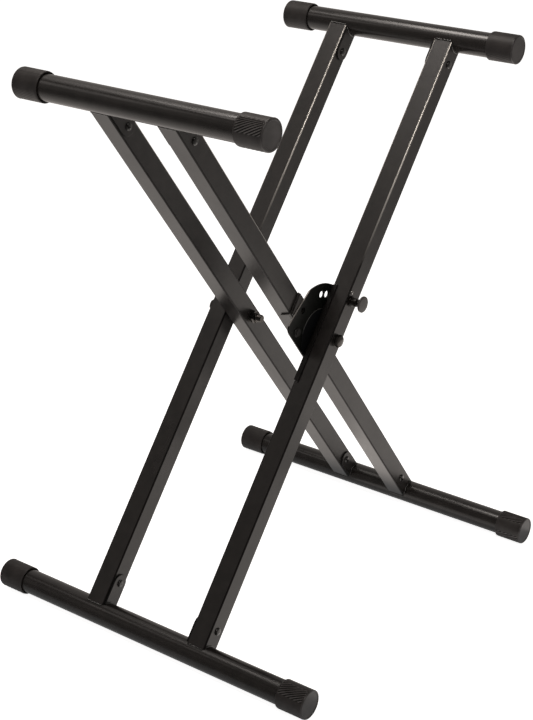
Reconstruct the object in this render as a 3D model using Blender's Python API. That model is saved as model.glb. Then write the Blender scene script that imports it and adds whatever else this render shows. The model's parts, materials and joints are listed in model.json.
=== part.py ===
"""Double X keyboard stand: two pairs of crossed square legs, four round
bearer tubes with end caps, two pivots and a spring plunger that locks the
opening angle in the holes of a sector plate.

Metres, +Z up. The bearer tubes run along Y, the legs open along X, and the
locking side faces -Y. The origin is on the floor under the two pivots.
"""
import math

import bmesh
import bpy
from mathutils import Matrix, Vector

# Overall proportions, taken at the tube centre lines
RISE = 0.800
SPREAD = 0.624
LOWER_TUBE_LENGTH = 0.585
UPPER_TUBE_LENGTH = 0.425

# Sections
LEG = 0.032
LEG_WALL = 0.0012
LEG_CORNER = 0.0025
TUBE_RADIUS = 0.019
TUBE_WALL = 0.0012
GAP = 0.0003
COPE_GAP = 0.0006

# End caps
CAP_RADIUS = 0.0223
CAP_LENGTH = 0.046
CAP_END = 0.003
CAP_ROUND = 0.002

# Positions of the legs along the tubes
INNER_PAIR_SPACING = 0.1166
INNER_PAIR_CENTRE = 0.0095
BACK_PIVOT_GAP = 0.0045

# Tabs welded to the tubes and the domed rivets through them
TAB_WIDTH = 0.028
TAB_THICKNESS = 0.0025
RIVET_FROM_TUBE = 0.051
OUTER_FRONT_RIVET_FROM_TUBE = 0.0425
RIVET_RADIUS = 0.004
RIVET_HEAD_RADIUS = 0.006
RIVET_HEAD_HEIGHT = 0.003

# Pivots
PIVOT_RADIUS = 0.006
PIVOT_HEAD_FLATS = 0.017
PIVOT_HEAD_HEIGHT = 0.006
PIVOT_NUT_HEIGHT = 0.0085
PIVOT_WASHER_RADIUS = 0.0098
PIVOT_WASHER_THICKNESS = 0.0016
SHANK_CHAMFER = 0.0015
BACK_PIVOT_TAIL = 0.010
FRONT_PIVOT_TAIL = 0.004
SPACER_RADIUS = 0.015

# Lock: layers between the front inner leg and the front outer leg
BRACKET_THICKNESS = 0.0022
PACKER_THICKNESS = 0.0018
SECTOR_THICKNESS = 0.0022
DISC_THICKNESS = 0.0010
STRAP_THICKNESS = 0.0018
FOLD_RADIUS = 0.0025

# Lock: angle bracket and packer on the inner leg, their top edges cut aslant
BRACKET_TOP = 0.084
BRACKET_BOTTOM = -0.030
BRACKET_SLANT = 0.28
BRACKET_SIDE_SLANT = 0.48
BRACKET_REACH = 0.020
PACKER_STEP = 0.0015

# Lock: channel on the back of the outer leg
STRAP_TOP = 0.0781
STRAP_BOTTOM = -0.0792
STRAP_REACH = 0.008

# Lock: sector plate, along and across the inner leg from the pivot
SECTOR_RADIUS = 0.0797
SECTOR_TOP = 0.074
SECTOR_LOW_SIDE = 0.0417
SECTOR_END_ANGLE = math.radians(108)
SECTOR_CORNER = 0.012
DISC_RADIUS = 0.0415
STOP_PLACE = (-0.0285, 0.048)
STOP_RADIUS = 0.0072
STOP_HEIGHT = 0.003
LOCK_CIRCLE = 0.063
LOCK_STEP = math.radians(12.4)
LOCK_STEPS_EACH_WAY = 2
FOLDED_OPENING = math.radians(6)

# Lock: plunger
PLUNGER_SIDE_OFFSET = 0.0046
PIN_RADIUS = 0.0050
PIN_CLEARANCE = 0.0004
PIN_PULL = 0.004
PIN_CHAMFER = 0.00125
STEM_RADIUS = 0.0036
STEM_SHOWN = 0.0066
HOUSING_RADIUS = 0.0064
HOUSING_THREAD_RADIUS = 0.0056
HOUSING_LENGTH = 0.0125
HOUSING_NUT_FLATS = 0.0135
HOUSING_NUT_HEIGHT = 0.0035
KNOB_RADIUS = 0.0126
KNOB_RIM = 0.0014
KNOB_DOME = 0.0016
KNOB_THICKNESS = 0.006
CLIP_RADIUS = 0.0085
CLIP_THICKNESS = 0.002
CLIP_FROM_FACE = 0.021
SPRING_WIRE = 0.0007
SPRING_RADIUS = 0.0068
SPRING_TURNS = 5

# Facets of round pieces, and steps of arcs
ROUND = 32
HOLE_ROUND = 16
NUT_ROUND = 12
TAB_STEPS = 8
SECTOR_STEPS = 20
CORNER_STEPS = 4
FOLD_STEPS = 2
LEG_FACE_SPLITS = 6
SPRING_STEPS = 10
SMOOTH_ANGLE = math.radians(35)
MERGE = 1e-6

# Derived positions
HALF_OPENING = math.atan2(SPREAD / 2, RISE / 2)
HALF_LEG = math.hypot(SPREAD / 2, RISE / 2)
PIVOT_HEIGHT = CAP_RADIUS + RISE / 2
LOCK_LAYERS = (BRACKET_THICKNESS, PACKER_THICKNESS, SECTOR_THICKNESS, DISC_THICKNESS, STRAP_THICKNESS)
FRONT_PIVOT_GAP = sum(LOCK_LAYERS) + GAP * (len(LOCK_LAYERS) + 1)
INNER_BACK_Y = INNER_PAIR_CENTRE + INNER_PAIR_SPACING / 2
INNER_FRONT_Y = INNER_PAIR_CENTRE - INNER_PAIR_SPACING / 2
OUTER_BACK_Y = INNER_BACK_Y + LEG + BACK_PIVOT_GAP
OUTER_FRONT_Y = INNER_FRONT_Y - LEG - FRONT_PIVOT_GAP
PLUNGER_TURN = math.asin(PLUNGER_SIDE_OFFSET / LOCK_CIRCLE)
SECTOR_BACK_Y = INNER_FRONT_Y - LEG / 2 - BRACKET_THICKNESS - PACKER_THICKNESS - 3 * GAP
OUTER_FACE_Y = OUTER_FRONT_Y - LEG / 2
PIN_TIP_Y = SECTOR_BACK_Y - SECTOR_THICKNESS - GAP


def clear_scene():
    for thing in list(bpy.data.objects):
        bpy.data.objects.remove(thing, do_unlink=True)


def paint(name, colour, roughness, metallic):
    material = bpy.data.materials.new(name)
    material.use_nodes = True
    shader = material.node_tree.nodes["Principled BSDF"]
    shader.inputs["Base Color"].default_value = (*colour, 1.0)
    shader.inputs["Roughness"].default_value = roughness
    shader.inputs["Metallic"].default_value = metallic
    return material


def empty(name, location, parent=None):
    """A frame that carries pieces; its origin is on the axis it moves on."""
    holder = bpy.data.objects.new(name, None)
    bpy.context.scene.collection.objects.link(holder)
    holder.parent = parent
    holder.location = location
    return holder


def add(name, bm, material, parent, location=(0, 0, 0), turn=0.0):
    """Make one named piece from a bmesh, turned about Y in its parent."""
    bmesh.ops.recalc_face_normals(bm, faces=bm.faces)
    mesh = bpy.data.meshes.new(name)
    bm.to_mesh(mesh)
    bm.free()
    piece = bpy.data.objects.new(name, mesh)
    bpy.context.scene.collection.objects.link(piece)
    piece.data.materials.append(material)
    piece.parent = parent
    piece.location = location
    piece.rotation_euler = (0, turn, 0)
    mesh.shade_smooth()
    mesh.set_sharp_from_angle(angle=SMOOTH_ANGLE)
    return piece


def cut(piece, bm, name):
    """Take the shapes in bm, given in the piece's own frame, out of it."""
    bmesh.ops.recalc_face_normals(bm, faces=bm.faces)
    mesh = bpy.data.meshes.new(name)
    bm.to_mesh(mesh)
    bm.free()
    cutter = bpy.data.objects.new(name, mesh)
    bpy.context.scene.collection.objects.link(cutter)
    cutter.parent = piece
    cutter.hide_render = True
    cutter.display_type = "WIRE"
    modifier = piece.modifiers.new("Holes", "BOOLEAN")
    modifier.operation = "DIFFERENCE"
    modifier.solver = "EXACT"
    modifier.object = cutter


def join_on(piece, bm, name):
    """Make the shape in bm, given in the piece's own frame, one with it."""
    cut(piece, bm, name)
    piece.modifiers[-1].operation = "UNION"


def circle(radius, count, centre=(0.0, 0.0), start=0.5):
    """Points of a circle in X and Z; start is the first point's angle in steps."""
    step = 2 * math.pi / count
    angles = [(index + start) * step for index in range(count)]
    return [(centre[0] + radius * math.cos(a), centre[1] + radius * math.sin(a)) for a in angles]


def rounded(points, radii):
    """Replace each corner of a closed outline by an arc of its radius."""
    result = []
    for index, radius in enumerate(radii):
        corner = Vector(points[index])
        before = Vector(points[index - 1]) - corner
        after = Vector(points[(index + 1) % len(points)]) - corner
        if radius == 0:
            result.append(tuple(corner))
            continue
        half = before.angle(after) / 2
        centre = corner + (before.normalized() + after.normalized()).normalized() * radius / math.sin(half)
        first = corner + before.normalized() * radius / math.tan(half) - centre
        last = corner + after.normalized() * radius / math.tan(half) - centre
        for step in range(CORNER_STEPS + 1):
            blend = first.slerp(last, step / CORNER_STEPS)
            result.append(tuple(centre + blend.normalized() * radius))
    return result


def prism(bm, outline, y_low, y_high):
    """Extrude an outline in X and Z from y_low to y_high."""
    low = [bm.verts.new((x, y_low, z)) for x, z in outline]
    face = bm.faces.new(low)
    extruded = bmesh.ops.extrude_face_region(bm, geom=[face])["geom"]
    moved = [item for item in extruded if isinstance(item, bmesh.types.BMVert)]
    bmesh.ops.translate(bm, verts=moved, vec=(0, y_high - y_low, 0))
    return bm


def ring(bm, outer, inner, y_low, y_high):
    """A flat ring or tube between two outlines in X and Z with equal counts."""
    loops = []
    for outline, y in ((outer, y_low), (outer, y_high), (inner, y_high), (inner, y_low)):
        loops.append([bm.verts.new((x, y, z)) for x, z in outline])
    for index, loop in enumerate(loops):
        following = loops[(index + 1) % len(loops)]
        for here in range(len(loop)):
            there = (here + 1) % len(loop)
            bm.faces.new((loop[here], loop[there], following[there], following[here]))
    return bm


def turned(bm, profile, count, centre=(0.0, 0.0)):
    """Spin a profile of (radius, y) about the line along Y through centre."""
    first = Matrix.Rotation(math.pi / count, 3, "Y")
    verts = [bm.verts.new(first @ Vector((radius, y, 0))) for radius, y in profile]
    edges = [bm.edges.new(pair) for pair in zip(verts, verts[1:])]
    if profile[0][0] > 0:
        edges.append(bm.edges.new((verts[-1], verts[0])))
    before = set(bm.verts) - set(verts)
    bmesh.ops.spin(bm, geom=verts + edges, axis=(0, 1, 0), cent=(0, 0, 0), steps=count,
                   angle=2 * math.pi, use_merge=True)
    bmesh.ops.remove_doubles(bm, verts=[v for v in bm.verts if v not in before], dist=MERGE)
    made = [vert for vert in bm.verts if vert not in before]
    bmesh.ops.translate(bm, verts=made, vec=(centre[0], 0, centre[1]))
    return bm


def hexagon(flats, count):
    """A hexagon's outline with count points, a multiple of six, spread as on a circle."""
    outline = []
    for index in range(count):
        angle = index * 2 * math.pi / count
        from_flat = angle % (math.pi / 3) - math.pi / 6
        radius = flats / 2 / math.cos(from_flat)
        outline.append((radius * math.cos(angle), radius * math.sin(angle)))
    return outline


def shifted(outline, centre):
    return [(x + centre[0], z + centre[1]) for x, z in outline]


def nut(bm, flats, hole_radius, y_low, y_high, centre=(0.0, 0.0)):
    inner = circle(hole_radius, NUT_ROUND, start=0)
    return ring(bm, shifted(hexagon(flats, NUT_ROUND), centre), shifted(inner, centre), y_low, y_high)


def holes(bm, spots, y_low, y_high, count=HOLE_ROUND):
    """Round cutters at (x, z, radius) through the span of y."""
    for x, z, radius in spots:
        prism(bm, circle(radius, count, (x, z)), y_low, y_high)
    return bm


def leg_section(half, corner):
    """Outline of a leg in X and Y; its front and back are split for the coped ends."""
    outline = []
    for quarter in range(4):
        centre = Vector(((half - corner) * (1 if quarter in (0, 3) else -1),
                         (half - corner) * (1 if quarter < 2 else -1)))
        for step in range(FOLD_STEPS + 1):
            angle = (quarter + step / FOLD_STEPS) * math.pi / 2
            outline.append(centre + Vector((math.cos(angle), math.sin(angle))) * corner)
        if quarter in (0, 2):
            direction = -1 if quarter == 0 else 1
            width = 2 * (half - corner)
            start = outline[-1]
            for step in range(1, LEG_FACE_SPLITS):
                outline.append(start + Vector((direction * width * step / LEG_FACE_SPLITS, 0)))
    return outline


def coped_end(x):
    """Distance from the pivot to the leg's end, hollowed to lie on a round tube."""
    return HALF_LEG - math.sqrt((TUBE_RADIUS + COPE_GAP) ** 2 - x ** 2)


def leg_tube(bm):
    outer = leg_section(LEG / 2, LEG_CORNER)
    inner = leg_section(LEG / 2 - LEG_WALL, LEG_CORNER - LEG_WALL)
    loops = []
    for outline, side in ((outer, -1), (outer, 1), (inner, 1), (inner, -1)):
        loops.append([bm.verts.new((p.x, p.y, side * coped_end(p.x))) for p in outline])
    for index, loop in enumerate(loops):
        following = loops[(index + 1) % len(loops)]
        for here in range(len(loop)):
            there = (here + 1) % len(loop)
            bm.faces.new((loop[here], loop[there], following[there], following[here]))
    return bm


def rivet_along(leg_y):
    """Distance from the pivot to the rivets of the leg at leg_y."""
    from_tube = OUTER_FRONT_RIVET_FROM_TUBE if leg_y == OUTER_FRONT_Y else RIVET_FROM_TUBE
    return HALF_LEG - from_tube


def leg(name, material, parent, y, turn, extra_holes=()):
    piece = add(name, leg_tube(bmesh.new()), material, parent, (0, y, 0), turn)
    along = rivet_along(y)
    spots = [(0, along, RIVET_RADIUS + GAP), (0, -along, RIVET_RADIUS + GAP), (0, 0, PIVOT_RADIUS + GAP)]
    spots += extra_holes
    cut(piece, holes(bmesh.new(), spots, -LEG, LEG), name + "_holes")
    return piece


def bearer(name, material, parent, centre, length):
    bm = bmesh.new()
    half = length / 2 - CAP_END - GAP
    outer = circle(TUBE_RADIUS, ROUND)
    inner = circle(TUBE_RADIUS - TUBE_WALL, ROUND)
    ring(bm, outer, inner, -half, half)
    return add(name, bm, material, parent, centre)


def cap(name, material, parent, centre, end_y, outward):
    """A cup over the tube's end; outward is -1 for the front and 1 for the back."""
    flat_to_corner = 1 / math.cos(math.pi / ROUND)
    radius = CAP_RADIUS * flat_to_corner
    bore = TUBE_RADIUS + GAP
    bevel = CAP_ROUND * (1 - math.sqrt(0.5))
    profile = [(0, 0), (radius - CAP_ROUND, 0), (radius - bevel, -bevel), (radius, -CAP_ROUND),
               (radius, -CAP_LENGTH + CAP_ROUND), (radius - CAP_ROUND / 2, -CAP_LENGTH),
               (bore, -CAP_LENGTH), (bore, -CAP_END), (0, -CAP_END)]
    profile = [(r, y * outward) for r, y in profile]
    place = (centre[0], end_y, centre[2])
    return add(name, turned(bmesh.new(), profile, ROUND), material, parent, place)


def tab_outline(along):
    """A tab from the tube's wall to a half round end about its rivet, in leg axes."""
    half = TAB_WIDTH / 2
    reach = TUBE_RADIUS + GAP * 2
    arc_half = math.asin(half / reach)
    outline = []
    for step in range(TAB_STEPS + 1):
        angle = -arc_half + 2 * arc_half * step / TAB_STEPS
        outline.append((reach * math.sin(angle), HALF_LEG - reach * math.cos(angle)))
    for step in range(TAB_STEPS + 1):
        angle = math.pi * step / TAB_STEPS
        outline.append((half * math.cos(angle), along - half * math.sin(angle)))
    return outline


def tab(name, material, parent, leg_y, side, turn, end):
    """side is the leg face the tab lies on; end is 1 for the top and -1 for the bottom."""
    along = rivet_along(leg_y)
    outline = [(x * end, z * end) for x, z in tab_outline(along)]
    near = side * (LEG / 2 + GAP)
    far = side * (LEG / 2 + GAP + TAB_THICKNESS)
    bm = prism(bmesh.new(), outline, min(near, far), max(near, far))
    piece = add(name, bm, material, parent, (0, leg_y, 0), turn)
    spot = [(0, along * end, RIVET_RADIUS + GAP)]
    cut(piece, holes(bmesh.new(), spot, min(near, far) - GAP, max(near, far) + GAP), name + "_hole")
    return piece


def rivet_shape(bm, head_radius, height, front, back, spot):
    """A rivet with a domed head in front of front and another behind back."""
    angles = (0, math.pi / 6, math.pi / 3, math.pi / 2)
    head = [(head_radius * math.sin(a), height * math.cos(a)) for a in angles]
    profile = [(radius, front - rise) for radius, rise in head]
    profile += [(RIVET_RADIUS, front), (RIVET_RADIUS, back)]
    profile += [(radius, back + rise) for radius, rise in reversed(head)]
    return turned(bm, profile, NUT_ROUND, spot)


def rivet(name, material, parent, leg_y, tab_side, turn, end):
    """A rivet through one tab and the leg."""
    plain = LEG / 2 + GAP
    tabbed = plain + TAB_THICKNESS + GAP
    front, back = (-tabbed, plain) if tab_side < 0 else (-plain, tabbed)
    spot = (0, rivet_along(leg_y) * end)
    bm = rivet_shape(bmesh.new(), RIVET_HEAD_RADIUS, RIVET_HEAD_HEIGHT, front, back, spot)
    return add(name, bm, material, parent, (0, leg_y, 0), turn)


def pivot_bolt(name, material, parent, head_y, direction, length):
    """A hexagon bolt along Y; direction is the way its shank points."""
    inside = head_y - direction * PIVOT_HEAD_HEIGHT / 2
    tip = head_y + direction * length
    low, high = sorted((head_y, head_y - direction * PIVOT_HEAD_HEIGHT))
    piece = add(name, prism(bmesh.new(), hexagon(PIVOT_HEAD_FLATS, 6), low, high), material, parent)
    shank = [(0, inside), (PIVOT_RADIUS, inside), (PIVOT_RADIUS, tip - direction * SHANK_CHAMFER),
             (PIVOT_RADIUS - SHANK_CHAMFER, tip), (0, tip)]
    join_on(piece, turned(bmesh.new(), shank, HOLE_ROUND), name + "_shank")
    return piece


def washer(name, material, parent, radius, y_low, y_high, count=HOLE_ROUND):
    bm = bmesh.new()
    ring(bm, circle(radius, count), circle(PIVOT_RADIUS + GAP, count), y_low, y_high)
    return add(name, bm, material, parent)


def pivot_nut(name, material, parent, y_low):
    bm = nut(bmesh.new(), PIVOT_HEAD_FLATS, PIVOT_RADIUS + GAP, y_low, y_low + PIVOT_NUT_HEIGHT)
    return add(name, bm, material, parent)


def back_pivot(materials, outer):
    """Bolt from behind the outer leg to a nut in front of the inner leg."""
    steel, nylon = materials["zinc"], materials["nylon"]
    washer_step = PIVOT_WASHER_THICKNESS + GAP
    behind = OUTER_BACK_Y + LEG / 2 + GAP
    front = INNER_BACK_Y - LEG / 2 - GAP
    head_y = behind + washer_step
    nut_y = front - washer_step
    length = head_y - nut_y + PIVOT_NUT_HEIGHT + BACK_PIVOT_TAIL
    washer("back_pivot_head_washer", steel, outer, PIVOT_WASHER_RADIUS,
           behind, behind + PIVOT_WASHER_THICKNESS)
    washer("back_pivot_nut_washer", steel, outer, PIVOT_WASHER_RADIUS,
           front - PIVOT_WASHER_THICKNESS, front)
    pivot_bolt("back_pivot_bolt", steel, outer, head_y, -1, length)
    pivot_nut("back_pivot_nut", steel, outer, nut_y - PIVOT_NUT_HEIGHT)
    spacer_low = INNER_BACK_Y + LEG / 2 + GAP
    spacer_high = OUTER_BACK_Y - LEG / 2 - GAP
    washer("back_pivot_spacer", nylon, outer, SPACER_RADIUS, spacer_low, spacer_high)


def front_pivot(materials, outer):
    """Bolt from in front of the outer leg to a nut behind the inner leg."""
    steel = materials["zinc"]
    washer_step = PIVOT_WASHER_THICKNESS + GAP
    front = OUTER_FACE_Y - GAP
    behind = INNER_FRONT_Y + LEG / 2 + GAP
    head_y = front - washer_step
    nut_y = behind + washer_step
    length = nut_y - head_y + PIVOT_NUT_HEIGHT + FRONT_PIVOT_TAIL
    washer("front_pivot_head_washer", steel, outer, PIVOT_WASHER_RADIUS,
           front - PIVOT_WASHER_THICKNESS, front)
    washer("front_pivot_nut_washer", steel, outer, PIVOT_WASHER_RADIUS,
           behind, behind + PIVOT_WASHER_THICKNESS)
    pivot_bolt("front_pivot_bolt", steel, outer, head_y, 1, length)
    pivot_nut("front_pivot_nut", steel, outer, nut_y)


def lock_spot(opening):
    """Where the plunger stands in the inner leg's axes at an opening angle."""
    angle = opening - PLUNGER_TURN
    return LOCK_CIRCLE * math.sin(angle), LOCK_CIRCLE * math.cos(angle)


def lock_openings():
    steps = range(-LOCK_STEPS_EACH_WAY, LOCK_STEPS_EACH_WAY + 1)
    return [2 * HALF_OPENING + step * LOCK_STEP for step in steps] + [FOLDED_OPENING]


def sector_outline():
    """Outline in the inner leg's axes: X across it, Z up along it."""
    arc_start = math.acos(SECTOR_TOP / SECTOR_RADIUS)
    arc = []
    for step in range(SECTOR_STEPS + 1):
        angle = arc_start + (SECTOR_END_ANGLE - arc_start) * step / SECTOR_STEPS
        arc.append((SECTOR_RADIUS * math.sin(angle), SECTOR_RADIUS * math.cos(angle)))
    end_z = arc[-1][1]
    points = [(-SECTOR_LOW_SIDE, SECTOR_TOP)] + arc + [(-SECTOR_LOW_SIDE, end_z)]
    radii = [SECTOR_CORNER] + [0] * len(arc) + [SECTOR_CORNER]
    return rounded(points, radii)


def sector_plate(materials, inner, turn):
    """The plate that the plunger locks into, its stop rivet, and the disc between it and the channel."""
    low, high = SECTOR_BACK_Y - SECTOR_THICKNESS, SECTOR_BACK_Y
    bm = prism(bmesh.new(), sector_outline(), low, high)
    piece = add("lock_sector_plate", bm, materials["gloss_black"], inner, turn=turn)
    spots = [(*lock_spot(opening), PIN_RADIUS + PIN_CLEARANCE) for opening in lock_openings()]
    spots += [(0, 0, PIVOT_RADIUS + GAP), (*STOP_PLACE, RIVET_RADIUS + GAP)]
    cut(piece, holes(bmesh.new(), spots, low - GAP, high + GAP), "sector_holes")
    bm = rivet_shape(bmesh.new(), STOP_RADIUS, STOP_HEIGHT, low - GAP, high + GAP, STOP_PLACE)
    add("lock_stop_rivet", bm, materials["black_zinc"], inner, turn=turn)
    washer("lock_disc", materials["nylon"], inner, DISC_RADIUS, low - GAP - DISC_THICKNESS, low - GAP, ROUND)


def folded_paths(half, web_y, reach_y, thickness, both):
    """Inner and outer outline, in X and Y, of a strip folded round a leg.

    The strip runs from reach_y on the left side over web_y to the right side,
    where it is folded back to reach_y too if both is true, or else ends flat.
    """
    away = 1 if web_y > reach_y else -1
    inner = [(-half, reach_y)]
    outer = [(-half - thickness, reach_y)]
    corners = [(-1, math.pi)] + ([(1, math.pi / 2)] if both else [])
    for side, first in corners:
        centre_x = side * (half - FOLD_RADIUS)
        centre_y = web_y - away * FOLD_RADIUS
        for step in range(FOLD_STEPS + 1):
            angle = first - step / FOLD_STEPS * math.pi / 2
            for line, radius in ((inner, FOLD_RADIUS), (outer, FOLD_RADIUS + thickness)):
                x = centre_x + radius * math.cos(angle)
                line.append((x, centre_y + away * radius * math.sin(angle)))
    if both:
        return inner + [(half, reach_y)], outer + [(half + thickness, reach_y)]
    return inner + [(half, web_y)], outer + [(half, web_y + away * thickness)]


def folded_strip(bm, inner, outer, bottom, top):
    """Raise a folded strip's outline from bottom to top, a height for each X and Y."""
    loops = []
    for line, height in ((inner, bottom), (outer, bottom), (outer, top), (inner, top)):
        loops.append([bm.verts.new((x, y, height(x, y))) for x, y in line])
    for index, loop in enumerate(loops):
        following = loops[(index + 1) % len(loops)]
        for here in range(len(loop) - 1):
            bm.faces.new((loop[here], loop[here + 1], following[here + 1], following[here]))
    bm.faces.new([loop[0] for loop in loops])
    bm.faces.new([loop[-1] for loop in loops])
    bmesh.ops.triangulate(bm, faces=bm.faces)
    return bm


def lock_bracket(material, inner, turn):
    """Angle bracket on the inner leg, with its side under the leg, and a packer on top."""
    face = INNER_FRONT_Y - LEG / 2
    half = LEG / 2
    stored = (*lock_spot(FOLDED_OPENING), PIN_RADIUS + PIN_CLEARANCE)
    spots = [stored, (0, 0, PIVOT_RADIUS + GAP)]

    def top(x, y):
        return BRACKET_TOP + BRACKET_SLANT * x - BRACKET_SIDE_SLANT * max(0, y - face)

    def bottom(x, y):
        return BRACKET_BOTTOM

    web = face - GAP
    lines = folded_paths(half + GAP, web, face + BRACKET_REACH, BRACKET_THICKNESS, False)
    bracket = add("lock_bracket", folded_strip(bmesh.new(), *lines, bottom, top), material, inner, turn=turn)
    cut(bracket, holes(bmesh.new(), spots, web - BRACKET_THICKNESS - GAP, web + GAP), "bracket_holes")
    low, high = SECTOR_BACK_Y + GAP, SECTOR_BACK_Y + GAP + PACKER_THICKNESS
    outline = [(-half, BRACKET_BOTTOM), (half, BRACKET_BOTTOM), (half, top(half, face) - PACKER_STEP),
               (-half, top(-half, face) - PACKER_STEP)]
    packer = add("lock_packer", prism(bmesh.new(), outline, low, high), material, inner, turn=turn)
    cut(packer, holes(bmesh.new(), spots, low - GAP, high + GAP), "packer_holes")


def plunger_spot():
    """The plunger's place in the outer leg's axes."""
    return -PLUNGER_SIDE_OFFSET, math.sqrt(LOCK_CIRCLE ** 2 - PLUNGER_SIDE_OFFSET ** 2)


def lock_strap(material, outer, turn):
    """Channel on the back of the front outer leg that guides the pin's tip."""
    back = OUTER_FRONT_Y + LEG / 2
    web = back + GAP
    lines = folded_paths(LEG / 2 + GAP, web, back - STRAP_REACH, STRAP_THICKNESS, True)

    def top(x, y):
        return STRAP_TOP

    def bottom(x, y):
        return STRAP_BOTTOM

    piece = add("lock_strap", folded_strip(bmesh.new(), *lines, bottom, top), material, outer, turn=turn)
    spots = [(*plunger_spot(), PIN_RADIUS + PIN_CLEARANCE), (0, 0, PIVOT_RADIUS + GAP)]
    cut(piece, holes(bmesh.new(), spots, web - GAP, web + STRAP_THICKNESS + GAP), "strap_holes")


def plunger_housing(materials, outer, turn):
    """Barrel and its nut on the front face of the outer leg."""
    spot = plunger_spot()
    back = OUTER_FACE_Y - GAP
    nut_front = back - HOUSING_NUT_HEIGHT
    bm = nut(bmesh.new(), HOUSING_NUT_FLATS, HOUSING_THREAD_RADIUS + GAP, nut_front, back, spot)
    add("plunger_nut", bm, materials["black_zinc"], outer, turn=turn)
    bore = shifted(circle(STEM_RADIUS + GAP, HOLE_ROUND), spot)
    body = shifted(circle(HOUSING_RADIUS, HOLE_ROUND), spot)
    thread = shifted(circle(HOUSING_THREAD_RADIUS, HOLE_ROUND), spot)
    bm = ring(bmesh.new(), body, bore, back - HOUSING_LENGTH, nut_front - GAP)
    piece = add("plunger_barrel", bm, materials["black_zinc"], outer, turn=turn)
    join_on(piece, ring(bmesh.new(), thread, bore, nut_front - 2 * GAP, back), "barrel_thread")


def plunger_spring(material, outer, turn):
    """Coil inside the hollow leg that pushes the pin's clip towards the plate."""
    x, z = plunger_spot()
    inside = OUTER_FACE_Y + LEG_WALL + GAP
    length = CLIP_FROM_FACE - LEG_WALL - PIN_PULL - 2 * GAP
    curve = bpy.data.curves.new("plunger_spring", "CURVE")
    curve.dimensions = "3D"
    curve.bevel_depth = SPRING_WIRE
    curve.bevel_resolution = 0
    curve.use_fill_caps = True
    count = SPRING_TURNS * SPRING_STEPS + 1
    line = curve.splines.new("POLY")
    line.points.add(count - 1)
    travel = length - 2 * SPRING_WIRE
    for index in range(count):
        angle = index * 2 * math.pi / SPRING_STEPS
        y = inside + SPRING_WIRE + travel * index / (count - 1)
        place = (x + SPRING_RADIUS * math.cos(angle), y, z + SPRING_RADIUS * math.sin(angle), 1)
        line.points[index].co = place
    curve.materials.append(material)
    spring = bpy.data.objects.new("plunger_spring", curve)
    bpy.context.scene.collection.objects.link(spring)
    spring.parent = outer
    spring.rotation_euler = (0, turn, 0)


def plunger_pin(materials, slide):
    """Pin, clip and knob in the slide's frame: Y is measured from the pin's tip."""
    face = OUTER_FACE_Y - PIN_TIP_Y
    knob_back = face - GAP - HOUSING_LENGTH - STEM_SHOWN
    seat = knob_back - KNOB_THICKNESS / 2
    clip_low = face + CLIP_FROM_FACE
    shoulder = clip_low + CLIP_THICKNESS + GAP
    profile = [(0, 0), (PIN_RADIUS - PIN_CHAMFER, 0), (PIN_RADIUS, -PIN_CHAMFER), (PIN_RADIUS, shoulder),
               (STEM_RADIUS, shoulder), (STEM_RADIUS, seat), (0, seat)]
    add("plunger_pin", turned(bmesh.new(), profile, HOLE_ROUND), materials["zinc"], slide)
    bore = STEM_RADIUS + GAP
    bm = ring(bmesh.new(), circle(CLIP_RADIUS, HOLE_ROUND), circle(bore, HOLE_ROUND),
              clip_low, clip_low + CLIP_THICKNESS)
    add("plunger_clip", bm, materials["zinc"], slide)
    front = knob_back - KNOB_THICKNESS
    rim_front = front + KNOB_DOME
    rim_back = rim_front + KNOB_RIM
    waist = (KNOB_RADIUS + STEM_RADIUS) / 2
    profile = []
    for share in (0, 0.5, 0.9, 1):
        profile.append((KNOB_RADIUS * share, rim_front - KNOB_DOME * (1 - share ** 2)))
    profile += [(KNOB_RADIUS, rim_back), (waist, knob_back), (bore, knob_back), (bore, seat - GAP),
                (0, seat - GAP)]
    add("plunger_knob", turned(bmesh.new(), profile, ROUND), materials["grey_plastic"], slide)


def frame_half(materials, parent, turn, leg_ys, tab_sides, top_name, bottom_name):
    """A bearer tube across each end of two legs, with its caps, tabs and rivets."""
    for end, name, length in ((1, top_name, UPPER_TUBE_LENGTH), (-1, bottom_name, LOWER_TUBE_LENGTH)):
        centre = (end * HALF_LEG * math.sin(turn), 0, end * HALF_LEG * math.cos(turn))
        bearer(name + "_tube", materials["gloss_black"], parent, centre, length)
        cap(name + "_cap_front", materials["cap_plastic"], parent, centre, -length / 2, -1)
        cap(name + "_cap_back", materials["cap_plastic"], parent, centre, length / 2, 1)
        for place, y, tab_side in zip(("back", "front"), leg_ys, tab_sides):
            tab(name + "_tab_" + place, materials["satin_black"], parent, y, tab_side, turn, end)
            rivet(name + "_rivet_" + place, materials["black_zinc"], parent, y, tab_side, turn, end)


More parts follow.
